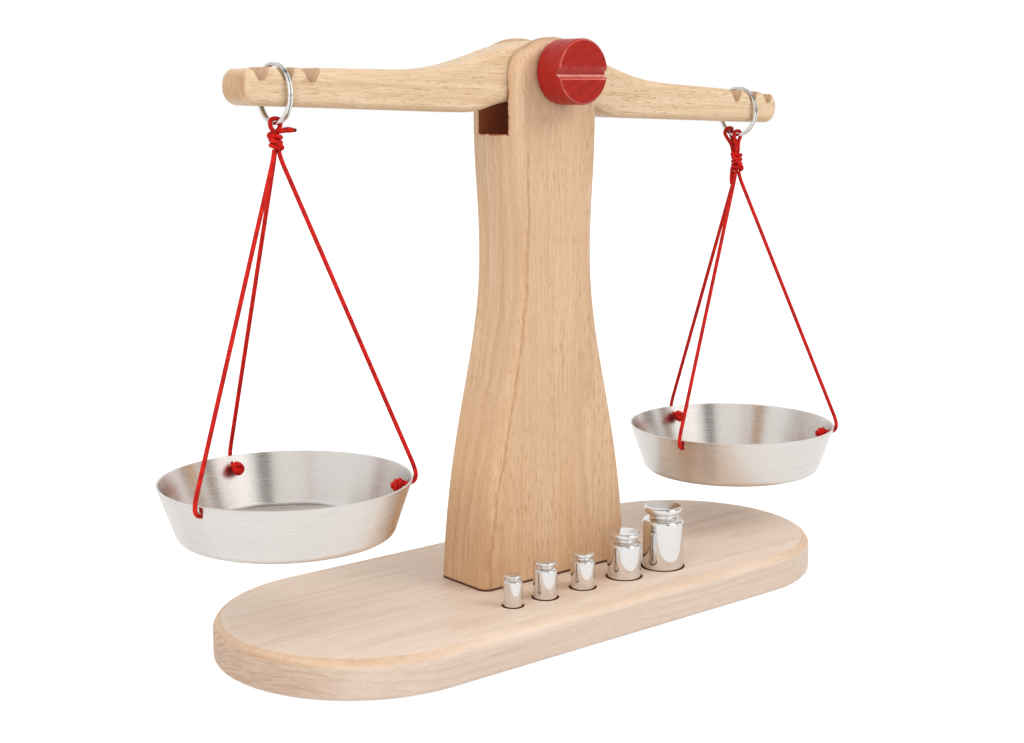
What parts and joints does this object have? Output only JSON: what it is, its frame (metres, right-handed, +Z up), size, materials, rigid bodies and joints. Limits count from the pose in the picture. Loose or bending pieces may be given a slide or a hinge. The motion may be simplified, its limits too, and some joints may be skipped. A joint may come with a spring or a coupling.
{
  "type": "balance scale",
  "caption": "Wooden two-pan balance scale with a red knob, steel pans on red cords and a row of chrome weights set into the base.",
  "frame": {"origin": "middle of the board's underside", "axes": "+X along the beam and the board, to the viewer's right from the front; +Y to the back, away from the knob; +Z up"},
  "size_m": [0.346, 0.119, 0.2413],
  "materials": {
    "board_wood": "fine sanded beech, clear matt lacquer",
    "post_wood": "fine sanded beech, clear matt lacquer",
    "beam_wood": "fine sanded beech, clear matt lacquer",
    "red_wood": "red stained wood, satin lacquer",
    "bolt_steel": "satin zinc",
    "sleeve_brass": "turned",
    "ring_nickel": "bright nickel",
    "pan_steel": "spun, fine rings round the wall",
    "weight_chrome": "bright plated, mirror",
    "red_cord": "braided cord with a slight sheen"
  },
  "bodies": {
    "stand": {"base_board": "board_wood", "post": "post_wood", "post_screws": "bolt_steel", "pivot_bolt": "bolt_steel", "knob_washer": "bolt_steel"},
    "knob": {"knob": "red_wood", "knob_insert": "sleeve_brass"},
    "beam": {"beam": "beam_wood", "beam_bush": "sleeve_brass"},
    "ring_left": {"ring_left": "ring_nickel"},
    "ring_right": {"ring_right": "ring_nickel"},
    "pan_set_left": {"hanger_left": "red_cord", "tail_left": "red_cord", "string_left_1": "red_cord", "string_left_2": "red_cord", "string_left_3": "red_cord", "stopper_knots_left": "red_cord", "pan_left": "pan_steel"},
    "pan_set_right": {"hanger_right": "red_cord", "second_loop_right": "red_cord", "tail_right": "red_cord", "string_right_1": "red_cord", "string_right_2": "red_cord", "string_right_3": "red_cord", "stopper_knots_right": "red_cord", "pan_right": "pan_steel"},
    "weight_5g": {"weight_5g": "weight_chrome"},
    "weight_10g_a": {"weight_10g_a": "weight_chrome"},
    "weight_10g_b": {"weight_10g_b": "weight_chrome"},
    "weight_20g": {"weight_20g": "weight_chrome"},
    "weight_50g": {"weight_50g": "weight_chrome"}
  },
  "joints": [
    {"name": "beam_swing", "type": "hinge", "parent": "stand", "child": "beam", "pos_m": [0, 0, 0.2272], "axis": [0, 1, 0], "range_deg": [-12.2, 8]},
    {"name": "knob_turn", "type": "hinge", "parent": "stand", "child": "knob", "pos_m": [0, -0.024, 0.2272], "axis": [0, -1, 0], "continuous": true},
    {"name": "ring_left_slip", "type": "hinge", "parent": "beam", "child": "ring_left", "pos_m": [-0.12474, 0, 0.21907], "axis": [1, 0, 0], "range_deg": [-10, 10]},
    {"name": "ring_right_slip", "type": "hinge", "parent": "beam", "child": "ring_right", "pos_m": [0.12409, 0, 0.20994], "axis": [1, 0, 0], "range_deg": [-10, 10]},
    {"name": "pan_left_swing", "type": "hinge", "parent": "ring_left", "child": "pan_set_left", "pos_m": [-0.12474, 0, 0.20832], "axis": [0, -1, 0], "range_deg": [-15, 15]},
    {"name": "pan_right_swing", "type": "hinge", "parent": "ring_right", "child": "pan_set_right", "pos_m": [0.12409, 0, 0.19919], "axis": [0, -1, 0], "range_deg": [-15, 15]},
    {"name": "weight_5g_lift", "type": "slide", "parent": "stand", "child": "weight_5g", "axis": [0, 0, 1], "range_m": [0, 0.03]},
    {"name": "weight_10g_a_lift", "type": "slide", "parent": "stand", "child": "weight_10g_a", "axis": [0, 0, 1], "range_m": [0, 0.03]},
    {"name": "weight_10g_b_lift", "type": "slide", "parent": "stand", "child": "weight_10g_b", "axis": [0, 0, 1], "range_m": [0, 0.03]},
    {"name": "weight_20g_lift", "type": "slide", "parent": "stand", "child": "weight_20g", "axis": [0, 0, 1], "range_m": [0, 0.03]},
    {"name": "weight_50g_lift", "type": "slide", "parent": "stand", "child": "weight_50g", "axis": [0, 0, 1], "range_m": [0, 0.03]}
  ]
}
